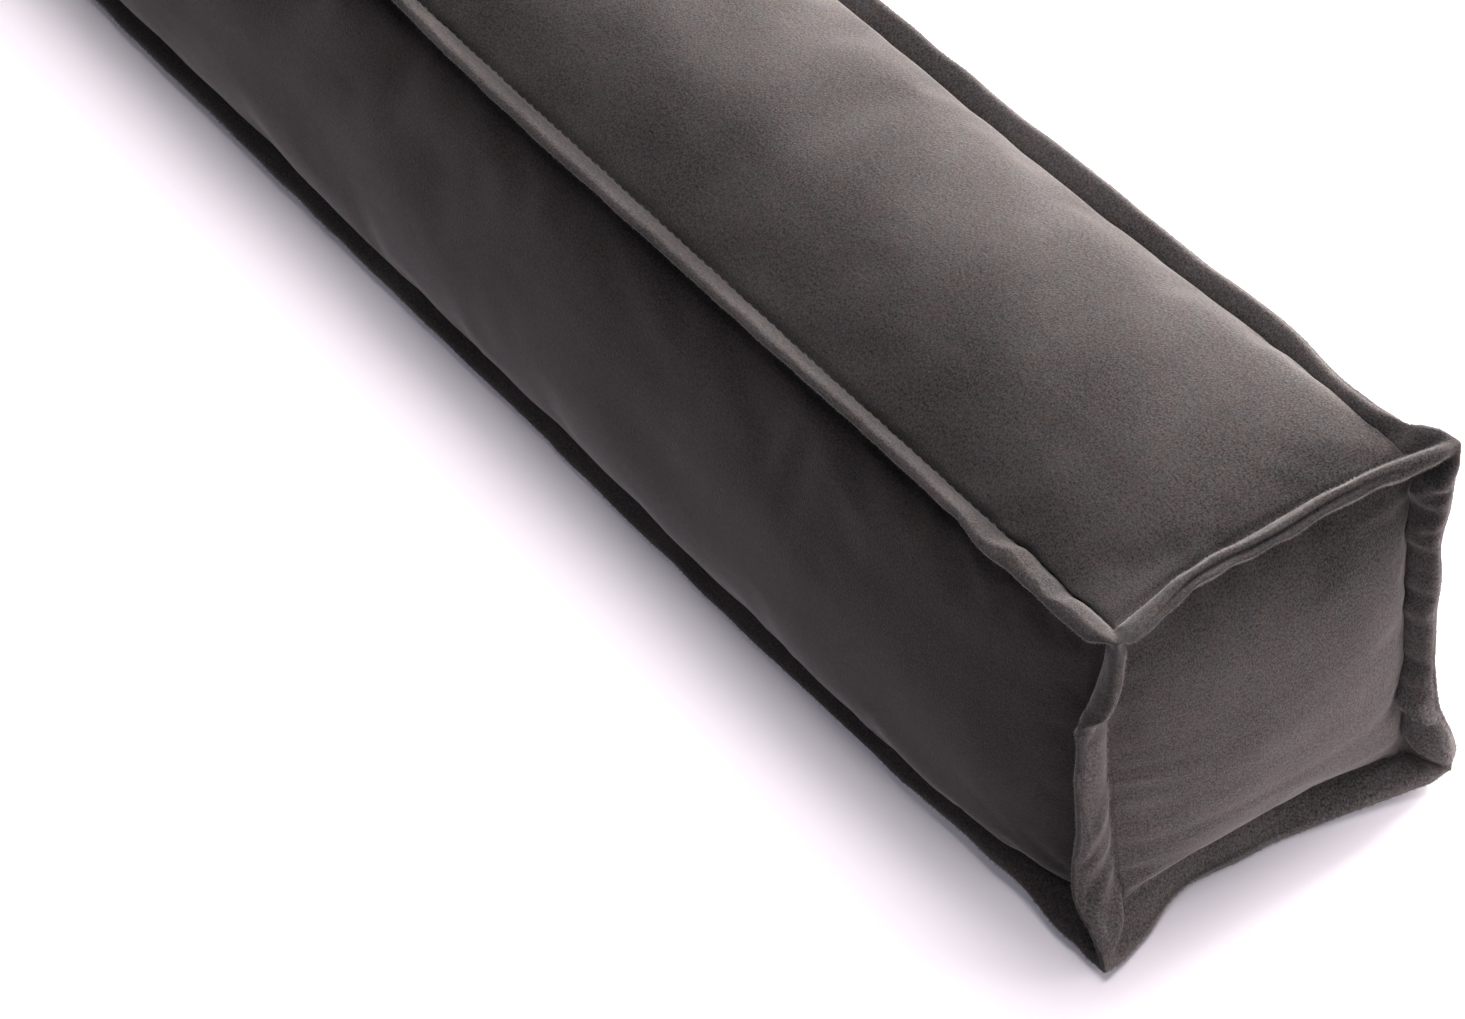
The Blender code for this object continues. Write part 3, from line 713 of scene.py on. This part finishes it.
# Soft corners: each pass moves a point towards the mean of its neighbours, by the strength times a
# bell of its distance from the nearest ear's middle or tip
def softenEars(piece, rule):
    mesh = piece.data
    points = np.empty(len(mesh.vertices) * 3, dtype=np.float32)
    mesh.vertices.foreach_get("co", points)
    points = points.reshape(-1, 3).astype(float)
    pairs = np.empty(len(mesh.edges) * 2, dtype=np.int32)
    mesh.edges.foreach_get("vertices", pairs)
    a, b = pairs.reshape(-1, 2).T
    count = np.bincount(np.concatenate([a, b]), minlength=len(points))[:, None]
    middles = [seamCorner(sides) + rule["middle"] * ear(sides) - (*coverShift, 0.0) for sides in corners]
    middles = np.array(middles)
    away = np.linalg.norm(points[:, None] - middles, axis=-1)
    soft = np.array([row.get("soft", 1.0) for row in corners.values()])[away.argmin(axis=1)]
    weight = (rule["strength"] * soft * np.exp(-((away.min(axis=1) / rule["reach"]) ** 4)))[:, None]
    for _ in range(rule["passes"]):
        total = np.stack([
            np.bincount(a, points[b, k], len(points)) + np.bincount(b, points[a, k], len(points))
            for k in range(3)
        ], axis=-1)
        points += weight * (total / count - points)
    mesh.vertices.foreach_set("co", points.astype(np.float32).ravel())
    mesh.update()


coverGrids = shapeCover()
velvetCover = makeCover(coverGrids)
weld(velvetCover)
softenEars(velvetCover, cover["earSmooth"])
softenEars(velvetCover, cover["tipSmooth"])
print("cover", len(velvetCover.data.polygons), "quads")


def newPiece(name, points, faces):
    mesh = bpy.data.meshes.new(name)
    mesh.from_pydata(points.reshape(-1, 3).tolist(), [], faces)
    mesh.shade_smooth()
    piece = bpy.data.objects.new(name, mesh)
    bpy.context.collection.objects.link(piece)
    return piece


def unitRows(vectors):
    return vectors / np.maximum(np.linalg.norm(vectors, axis=-1, keepdims=True), 1e-12)


# Short pile standing on the flanges: closed three-sided spikes
pile = {
    "spikes": 46000,  # in each piece
    "length": (0.00030, 0.00075),
    "width": 0.00009,
    "sunk": 0.00010,
    "lean": 0.45,
    "softness": 0.5,  # how far a spike's shading normals turn away from its root's normal
    "from": (0.30, 0.75),  # shares of the flange between which it begins
    "regions": {  # least and most distance from the middle along x, and least and most height
        "pileEnds": (0.4220, 1.0, -1.0, 1.0),
        "pileUpper": (-1.0, 0.4220, 0.055, 1.0),
        "pileLower": (-1.0, 0.4220, -1.0, 0.055),
    },
}


# Spikes: roots at random places of the cover's triangles, by area and by the flange's share. A spike
# is a small triangle round its root, drawn to a point along the normal and a random lean
def makePile(name, region, cloth, seed):
    mesh = cloth.data
    mesh.calc_loop_triangles()
    count = len(mesh.vertices)
    points, normals = np.empty(count * 3, np.float32), np.empty(count * 3, np.float32)
    shares, paintedLights = np.empty(count, np.float32), np.empty(count, np.float32)
    corner = np.empty(len(mesh.loop_triangles) * 3, np.int32)
    mesh.vertices.foreach_get("co", points)
    mesh.vertices.foreach_get("normal", normals)
    mesh.attributes["flange"].data.foreach_get("value", shares)
    mesh.attributes["nap"].data.foreach_get("value", paintedLights)
    mesh.loop_triangles.foreach_get("vertices", corner)
    points, normals, corner = (x.reshape(-1, 3) for x in (points, normals, corner))
    a, b, c = (points[corner[:, k]].astype(float) for k in range(3))
    middle = (a + b + c) / 3.0
    weight = np.linalg.norm(np.cross(b - a, c - a), axis=1)
    weight *= np.interp(shares[corner].mean(axis=1), pile["from"], (0.0, 1.0))
    near, far, low, high = region
    weight *= (np.abs(middle[:, 0]) > near) & (np.abs(middle[:, 0]) <= far)
    weight *= (middle[:, 2] > low) & (middle[:, 2] <= high)
    rng = np.random.default_rng(seed)
    n = pile["spikes"]
    picked = rng.choice(len(weight), n, p=weight / weight.sum())
    share = np.sort(rng.uniform(size=(n, 2)), axis=1)
    blend = np.column_stack([share[:, 0], share[:, 1] - share[:, 0], 1.0 - share[:, 1]])[:, :, None]
    root = (points[corner[picked]] * blend).sum(axis=1)
    normal = unitRows((normals[corner[picked]] * blend).sum(axis=1))
    way = unitRows(normal + pile["lean"] * rng.normal(size=(n, 3)))
    first = unitRows(np.cross(way, rng.normal(size=(n, 3))))
    second = np.cross(way, first)
    angle = 2.0 * np.pi / 3.0 * np.arange(3)[None, :, None]
    radial = np.cos(angle) * first[:, None] + np.sin(angle) * second[:, None]
    base = (root - pile["sunk"] * normal)[:, None] + pile["width"] * radial
    tip = root + way * rng.uniform(*pile["length"], n)[:, None]
    spikes = np.concatenate([base, tip[:, None]], axis=1)
    spikes[..., 2] = np.maximum(spikes[..., 2], 0.0)
    faces = np.array([(0, 1, 3), (1, 2, 3), (2, 0, 3), (2, 1, 0)])
    piece = newPiece(name, spikes, (4 * np.arange(n)[:, None, None] + faces).reshape(-1, 3).tolist())
    soft = np.concatenate([unitRows(normal[:, None] + pile["softness"] * radial), way[:, None]], axis=1)
    piece.data.normals_split_custom_set_from_vertices(soft.reshape(-1, 3).tolist())
    # The spikes carry the flange share and the painted light and shade of the cloth under them
    for label, values in (("flange", shares), ("nap", paintedLights)):
        values = np.repeat((values[corner[picked]] * blend[..., 0]).sum(axis=1), 4).astype(np.float32)
        piece.data.attributes.new(label, "FLOAT", "POINT").data.foreach_set("value", values)
    return piece


# Topstitching: one short thread for each stitch on both faces of every flange
stitching = {
    "pitch": 0.0036,
    "length": 0.0027,
    "radius": 0.00019,
    "fromSeam": 0.0005,
    "rise": 0.00012,
    "dip": 0.00045,
    "jitter": 0.12,  # share of the pitch by which a stitch is off its place
    "taper": 0.75,  # how much of its section a thread loses at its ends
    "steps": 5,
    "sides": 4,
    "margin": 0.003,
}


# Stitches along one border of a panel: thread of four sides whose middle stands at the rise and
# whose ends dip into the cloth by dip s2, with s from -1 to 1 along the stitch
def stitchRow(lines, end, outward, seed):
    rule = stitching
    border = rings if end < 0 else -rings - 1
    root, beside = lines[rings:-rings, border], lines[rings:-rings, border + end]
    over = unitRows(beside - root)
    normal = unitRows(np.cross(np.gradient(root, axis=0), over))
    normal *= np.sign((normal * outward).sum(axis=1, keepdims=True))
    distance = np.concatenate([[0.0], np.cumsum(np.linalg.norm(np.diff(root, axis=0), axis=1))])
    count = int((distance[-1] - 2.0 * rule["margin"]) / rule["pitch"])
    jitter = np.random.default_rng(seed).uniform(-rule["jitter"], rule["jitter"], count)
    first = (distance[-1] - count * rule["pitch"]) / 2.0
    middles = first + (np.arange(count) + 0.5 + jitter) * rule["pitch"]
    s = np.linspace(-1.0, 1.0, rule["steps"])
    place = middles[:, None] + s * rule["length"] / 2.0

    def read(values):
        return np.stack([np.interp(place, distance, values[:, k]) for k in range(3)], axis=-1)
    up, aside = unitRows(read(normal)), unitRows(read(over))
    middle = read(root) + rule["fromSeam"] * aside + (rule["rise"] - rule["dip"] * s**2)[:, None] * up
    angle = 2.0 * np.pi / rule["sides"] * np.arange(rule["sides"])[:, None]
    radius = rule["radius"] * np.sqrt(1.0 - rule["taper"] * s**4)[:, None, None]
    return middle[:, :, None] + radius * (np.cos(angle) * aside[:, :, None] + np.sin(angle) * up[:, :, None])


def makeStitching(grids):
    rows = []
    for (axis, side), grid in grids.items():
        for lines in (grid, grid.swapaxes(0, 1)):
            for end in (-1, 1):
                seed = seeds["stitches"] + len(rows)
                rows.append(stitchRow(lines, end, side * unit[axis], seed))
    threads = np.concatenate(rows)
    steps, sides = stitching["steps"], stitching["sides"]
    index = np.arange(steps * sides).reshape(steps, sides)
    turned = np.roll(index, -1, axis=1)
    around = np.stack([index[:-1], turned[:-1], turned[1:], index[1:]], axis=-1).reshape(-1, 4)
    faces = np.concatenate([around, index[:1, ::-1], index[-1:]])
    offsets = steps * sides * np.arange(len(threads))[:, None, None]
    piece = newPiece("topstitching", threads, (offsets + faces).reshape(-1, 4).tolist())
    work = bmesh.new()
    work.from_mesh(piece.data)
    bmesh.ops.recalc_face_normals(work, faces=work.faces)
    work.to_mesh(piece.data)
    work.free()
    piece.data.shade_smooth()
    return piece


piles = [
    makePile(name, region, velvetCover, seeds["pile"] + k)
    for k, (name, region) in enumerate(pile["regions"].items())
]
topstitching = makeStitching(coverGrids)
stitches = len(topstitching.data.vertices) // (stitching["steps"] * stitching["sides"])
print("pile and", stitches, "stitches")


# One socket's value: arithmetic on it adds the Math node
class Value:
    def __init__(self, shade, socket):
        self.shade = shade
        self.socket = socket

    def math(self, operation, *inputs):
        return self.shade.node("ShaderNodeMath", {"operation": operation}, dict(enumerate(inputs)))

    def __add__(self, other):
        return self.math("ADD", self, other)

    def __radd__(self, other):
        return self.math("ADD", other, self)

    def __sub__(self, other):
        return self.math("SUBTRACT", self, other)

    def __rsub__(self, other):
        return self.math("SUBTRACT", other, self)

    def __mul__(self, other):
        return self.math("MULTIPLY", self, other)

    def __rmul__(self, other):
        return self.math("MULTIPLY", other, self)

    def __pow__(self, other):
        return self.math("POWER", self, other)

    def clamped(self):
        return self.math("MINIMUM", self.math("MAXIMUM", self, 0.0), 1.0)


class Shade:
    def __init__(self, name):
        self.material = bpy.data.materials.new(name)
        self.material.use_nodes = True
        self.tree = self.material.node_tree
        self.shader = self.tree.nodes["Principled BSDF"]

    # Settings first, then each socket's value or link; out picks the output
    def node(self, kind, settings=None, inputs=None, out=0):
        made = self.tree.nodes.new(kind)
        for name, value in (settings or {}).items():
            setattr(made, name, value)
        for name, value in (inputs or {}).items():
            self.feed(made.inputs[name], value)
        return Value(self, made.outputs[out])

    def feed(self, socket, value):
        if isinstance(value, Value):
            self.tree.links.new(value.socket, socket)
        else:
            socket.default_value = value

    def surface(self):
        return Value(self, self.shader.outputs[0])

    def finish(self, inputs):
        for name, value in inputs.items():
            self.feed(self.shader.inputs[name], value)
        return self.material

    def noise(self, place, scale, detail=2.0, roughness=0.5):
        inputs = {"Vector": place, "Scale": scale, "Detail": detail, "Roughness": roughness}
        return self.node("ShaderNodeTexNoise", {}, inputs)

    def ease(self, value, low, high):
        inputs = {"Value": value, "From Min": low, "From Max": high}
        return self.node("ShaderNodeMapRange", {"interpolation_type": "SMOOTHSTEP"}, inputs)

    def mix(self, share, low, high):
        return self.node(
            "ShaderNodeMix", {"data_type": "RGBA"}, {"Factor": share, 6: low, 7: high}, out=2
        )


velvet = {
    "deep": (0.0128, 0.0118, 0.0114, 1.0),
    "pale": (0.056, 0.0512, 0.0495, 1.0),
    "warm": (1.075, 0.985, 0.955, 1.0),  # slow changes of tint
    "cool": (1.00, 0.995, 1.005, 1.0),
    "tint": 210.0,  # its patches a metre
    "tintRange": (0.35, 0.65),
    "rim": (0.13, 0.120, 0.116, 1.0),  # pile seen from its side
    "rimPower": 6.0,
    "rimShare": (0.55, 0.9),  # between the tufts, and more of it on them
    "sheen": (0.15, 0.139, 0.137, 1.0),
    "sheenRoughness": 0.45,
    "roughness": 0.95,
    "shine": 0.03,
    "contrast": (2.4, 0.8, 0.9),  # of the tufts, the clumps and the patches
    "grain": (2100.0, 1450.0, 1.0),  # tufts a metre across and along the pile
    "grainDepth": 0.00015,
    "mottle": 850.0,  # small clumps of tufts a metre
    "crush": 22.0,  # patches of turned pile a metre
    "paintedHighlight": ((0.02, 0.45, 0.15), (0.70, 1.00, 0.35)),  # shares of the flange, and how much paler it grows: a painted highlight, most at the lip
}
threadLooks = {
    "deep": (0.040, 0.036, 0.035, 1.0),
    "pale": (0.085, 0.078, 0.076, 1.0),
    "twist": 2600.0,
    "roughness": 0.6,
}


# Velvet: dark between the tufts, paler on them, and paler still where the pile is seen from its side
def velvetMaterial(v, name, grainPlace):
    shade = Shade(name)
    if grainPlace == "cloth":
        place = shade.node("ShaderNodeUVMap", {"uv_map": "cloth"})
        place = shade.node("ShaderNodeVectorMath", {"operation": "MULTIPLY"}, {0: place, 1: v["grain"]})
        grain = shade.noise(place, 1.0, 2.0, 0.6)
    else:
        grain = shade.noise(shade.node("ShaderNodeTexCoord", out=3), v["grain"][0], 2.0, 0.6)
    solid = shade.node("ShaderNodeTexCoord", out=3)
    patches = shade.noise(solid, v["crush"], 3.0, 0.55)
    mottle = shade.noise(solid, v["mottle"], 1.5, 0.6)
    tufted, clumped, crushed = v["contrast"]
    tone = tufted * (grain - 0.5) + clumped * (mottle - 0.5) + crushed * (patches - 0.5)
    tone = (tone + 0.5).clamped()
    colour = shade.mix(tone, v["deep"], v["pale"])
    flange = shade.node("ShaderNodeAttribute", {"attribute_name": "flange"}, out=2)
    # Painted light and shade of each panel, as a scale on the colour
    nap = shade.node("ShaderNodeAttribute", {"attribute_name": "nap"}, out=2)
    # Painted highlight: the flanges grow paler out towards the lip, where light catches them
    paintedHighlight = 1.0
    for start, whole, paler in v["paintedHighlight"]:
        paintedHighlight = paintedHighlight + paler * shade.ease(flange, start, whole)
    tint = shade.ease(shade.noise(solid, v["tint"]), *v["tintRange"])
    tint = shade.mix(tint, v["warm"], v["cool"])
    colour = shade.node("ShaderNodeVectorMath", {"operation": "MULTIPLY"}, {0: colour, 1: tint})
    # The colour scaled by the painted highlight and the panel's painted light and shade
    colour = shade.node("ShaderNodeVectorMath", {"operation": "SCALE"}, {0: colour, "Scale": paintedHighlight * nap})
    bump = shade.node(
        "ShaderNodeBump", {}, {"Strength": 1.0, "Distance": v["grainDepth"], "Height": grain}
    )
    brushed = {
        "Roughness": v["roughness"], "Specular IOR Level": v["shine"], "Normal": bump,
        "Sheen Weight": 1.0, "Sheen Roughness": v["sheenRoughness"], "Sheen Tint": v["sheen"],
    }
    shade.finish({"Base Color": colour, **brushed})
    edge = shade.node("ShaderNodeLayerWeight", {}, {"Blend": 0.5, "Normal": bump}, out=1)
    side = shade.node("ShaderNodeBsdfPrincipled", {}, {"Base Color": v["rim"], **brushed})
    between, more = v["rimShare"]
    share = edge ** v["rimPower"] * (between + more * tone)
    both = shade.node("ShaderNodeMixShader", {}, {0: share.clamped(), 1: shade.surface(), 2: side})
    shade.tree.links.new(both.socket, shade.tree.nodes["Material Output"].inputs["Surface"])
    return shade.material


def threadMaterial(v):
    shade = Shade("thread")
    solid = shade.node("ShaderNodeTexCoord", out=3)
    twist = shade.noise(solid, v["twist"], 1.0)
    colour = shade.mix(twist, v["deep"], v["pale"])
    return shade.finish({"Base Color": colour, "Roughness": v["roughness"]})


velvetCover.data.materials.append(velvetMaterial(velvet, "velvet", "cloth"))
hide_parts("cushion")
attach(velvetCover, "root")
tufts = velvetMaterial(velvet, "tufts", "solid")
for piece in piles:
    piece.data.materials.append(tufts)
topstitching.data.materials.append(threadMaterial(threadLooks))
for piece in (*piles, topstitching):
    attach(piece, "root")

# Floor, sky and lights of a plain white studio
studio = {
    "floor": (0.90, 0.84, 0.875, 1.0),
    "floorSize": 30.0,
    "roughness": 0.9,
    "shine": 0.1,
    "sky": (0.97, 0.95, 1.0, 1.0),
    "skyStrength": 0.06,
}
lightAim = (0.25, 0.0, 0.05)
lightDistance = 2.0
lights = {
    "window": {
        "azimuth": 100, "elevation": 15, "size": 1.0, "power": 195,
        "colour": (1.0, 0.985, 0.96),
    },
    "overhead": {
        "azimuth": 120, "elevation": 70, "size": 1.2, "power": 40,
        "colour": (1.0, 0.975, 1.0),
    },
    "top": {
        "azimuth": 0, "elevation": 86, "size": 1.2, "power": 27,
        "colour": (1.0, 0.96, 0.99),
    },
    "end": {
        "azimuth": 56, "elevation": 11, "size": 1.0, "power": 13,
        "colour": (1.0, 0.97, 0.99),
    },
    "frontFill": {
        "azimuth": 300, "elevation": 34, "size": 1.0, "power": 10,
        "colour": (0.92, 0.97, 1.11),
    },
    "endLow": {
        "azimuth": 40, "elevation": 6, "distance": 0.30, "size": 0.16, "power": 0.75,
        "colour": (1.0, 0.97, 0.98), "aim": (0.44, 0.02, 0.02),
    },
}


def makeStudio():
    mesh = bpy.data.meshes.new("floor")
    s = studio["floorSize"] / 2
    mesh.from_pydata([(-s, -s, 0), (s, -s, 0), (s, s, 0), (-s, s, 0)], [], [(0, 1, 2, 3)])
    floor = bpy.data.objects.new("floor", mesh)
    bpy.context.collection.objects.link(floor)
    shade = Shade("floor")
    mesh.materials.append(shade.finish({
        "Base Color": studio["floor"], "Roughness": studio["roughness"],
        "Specular IOR Level": studio["shine"],
    }))
    world = bpy.data.worlds.new("studio")
    world.use_nodes = True
    background = world.node_tree.nodes["Background"]
    background.inputs["Color"].default_value = studio["sky"]
    background.inputs["Strength"].default_value = studio["skyStrength"]
    bpy.context.scene.world = world


def makeLights():
    for name, row in lights.items():
        data = bpy.data.lights.new(name, "AREA")
        data.shape = "DISK"
        data.size = row["size"]
        data.energy = row["power"]
        data.color = row["colour"]
        lamp = bpy.data.objects.new(name, data)
        a, e = math.radians(row["azimuth"]), math.radians(row["elevation"])
        toward = Vector((math.cos(a) * math.cos(e), math.sin(a) * math.cos(e), math.sin(e)))
        lamp.location = Vector(row.get("aim", lightAim)) + toward * row.get("distance", lightDistance)
        lamp.rotation_euler = toward.to_track_quat("Z", "Y").to_euler()
        lamp.visible_camera = False
        bpy.context.collection.objects.link(lamp)


makeStudio()
makeLights()
bpy.context.scene.view_settings.view_transform = "Standard"
print("studio and lights")
